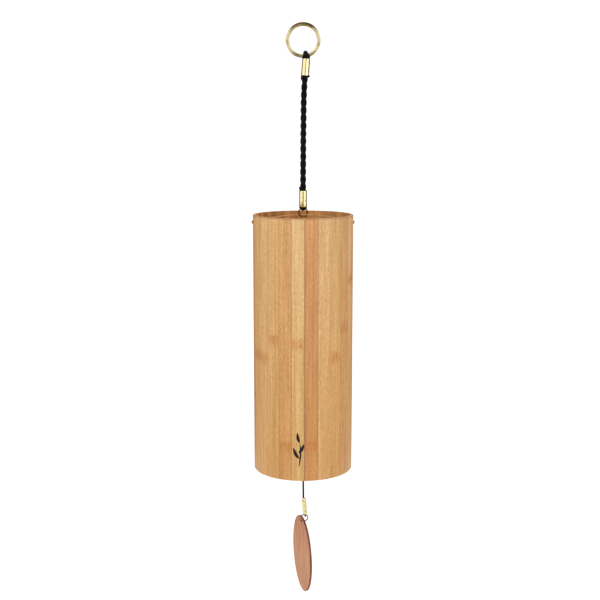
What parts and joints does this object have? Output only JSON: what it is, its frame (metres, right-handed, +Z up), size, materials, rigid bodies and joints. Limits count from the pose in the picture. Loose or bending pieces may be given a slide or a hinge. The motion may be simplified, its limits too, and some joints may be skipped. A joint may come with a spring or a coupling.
{
  "type": "wind chime",
  "caption": "Hanging resonator wind chime: rolled bamboo tube with tuned rods and a clear striker inside, on a ring and twisted cord, with a wooden wind sail below.",
  "frame": {"origin": "where a hook bears on the inner top of the hanging ring, on the line that the chime hangs on", "axes": "+Z up along the tube; X across the front, in the plane of the hanging ring and along the cross wire; -Y faces the viewer"},
  "size_m": [0.0652, 0.0636, 0.3693],
  "materials": {
    "antique_brass": "satin antique",
    "bright_brass": "polished, lightly scuffed",
    "black_cord": "satin braided",
    "dark_bronze": "dull",
    "bronze_wire": "dull",
    "wire_end": "dull",
    "bamboo_outer": "clear oiled",
    "bamboo_core": "raw",
    "bamboo_inner": "raw",
    "ply_ring": "raw",
    "plate_steel": "brushed",
    "rod_steel": "drawn",
    "silver_solder": "satin",
    "eyelet_brass": "polished",
    "clear_acrylic": "clear polished",
    "sail_ferrule_brass": "satin",
    "sail_ring_metal": "dull",
    "sail_wood": "raw, scorched edge"
  },
  "bodies": {
    "ring": {"hanging_ring": "antique_brass"},
    "cord_head": {"upper_loop": "black_cord", "upper_ferrule": "bright_brass"},
    "cord": {"hanging_cord": "black_cord"},
    "cord_foot": {"lower_ferrule": "bright_brass", "lower_loop": "black_cord"},
    "link": {"link_ring": "dark_bronze"},
    "chime": {"cross_wire": "bronze_wire", "wire_end_beads": "wire_end", "tube_outer_veneer": "bamboo_outer", "tube_core_ply": "bamboo_core", "tube_inner_veneer": "bamboo_inner", "plate_retaining_ring": "ply_ring", "chime_plate": "plate_steel", "plate_seat_ring": "ply_ring", "plate_eyelet": "eyelet_brass", "chime_rod_1": "rod_steel", "chime_rod_2": "rod_steel", "chime_rod_3": "rod_steel", "chime_rod_4": "rod_steel", "chime_rod_5": "rod_steel", "chime_rod_6": "rod_steel", "chime_rod_7": "rod_steel", "chime_rod_8": "rod_steel", "solder_fillets": "silver_solder"},
    "striker_pivot": {"striker_stop_knot": "black_cord"},
    "striker": {"striker_cord": "black_cord", "striker_disc": "clear_acrylic"},
    "sail_pivot": {"sail_knot": "black_cord"},
    "sail_line": {"sail_cord": "black_cord"},
    "sail_end": {"sail_ferrule": "sail_ferrule_brass", "sail_loop": "black_cord"},
    "sail_link": {"sail_ring": "sail_ring_metal"},
    "sail": {"wind_sail": "sail_wood"}
  },
  "joints": [
    {"name": "loop_slide_round_ring", "type": "hinge", "parent": "ring", "child": "cord_head", "pos_m": [0, 0, -0.0085], "axis": [0, 1, 0], "range_deg": [-60, 60]},
    {"name": "cord_swing", "type": "hinge", "parent": "cord_head", "child": "cord", "pos_m": [0.001, 0, -0.032], "axis": [1, 0, 0], "range_deg": [-60, 60]},
    {"name": "cord_twist", "type": "hinge", "parent": "cord", "child": "cord_foot", "pos_m": [0, 0, -0.101], "axis": [0, 0, 1], "range_deg": [-120, 120]},
    {"name": "link_swing", "type": "hinge", "parent": "cord_foot", "child": "link", "pos_m": [0, 0, -0.11457], "axis": [-0.342, 0.9397, 0], "range_deg": [-60, 60]},
    {"name": "chime_swing", "type": "hinge", "parent": "link", "child": "chime", "pos_m": [0, 0, -0.11625], "axis": [1, 0, 0], "range_deg": [-60, 60]},
    {"name": "striker_swing_front", "type": "hinge", "parent": "chime", "child": "striker_pivot", "pos_m": [0, 0, -0.13429], "axis": [1, 0, 0], "range_deg": [-4.5, 4.5]},
    {"name": "striker_swing_side", "type": "hinge", "parent": "striker_pivot", "child": "striker", "pos_m": [0, 0, -0.13429], "axis": [0, 1, 0], "range_deg": [-4.5, 4.5]},
    {"name": "sail_cord_swing_front", "type": "hinge", "parent": "striker", "child": "sail_pivot", "pos_m": [0, 0, -0.18772], "axis": [1, 0, 0], "range_deg": [-5, 5]},
    {"name": "sail_cord_swing_side", "type": "hinge", "parent": "sail_pivot", "child": "sail_line", "pos_m": [0, 0, -0.18772], "axis": [0, 1, 0], "range_deg": [-5, 5]},
    {"name": "sail_twist", "type": "hinge", "parent": "sail_line", "child": "sail_end", "pos_m": [0.0003, 0, -0.30306], "axis": [0, 0, 1], "range_deg": [-170, 170]},
    {"name": "sail_ring_swing", "type": "hinge", "parent": "sail_end", "child": "sail_link", "pos_m": [0.00051, 0.00078, -0.31755], "axis": [0.2141, -0.9126, -0.3483], "range_deg": [-45, 45]},
    {"name": "sail_swing", "type": "hinge", "parent": "sail_link", "child": "sail", "pos_m": [-0.00039, 0.00156, -0.32014], "axis": [-0.9246, -0.3043, 0.229], "range_deg": [-40, 20]}
  ]
}
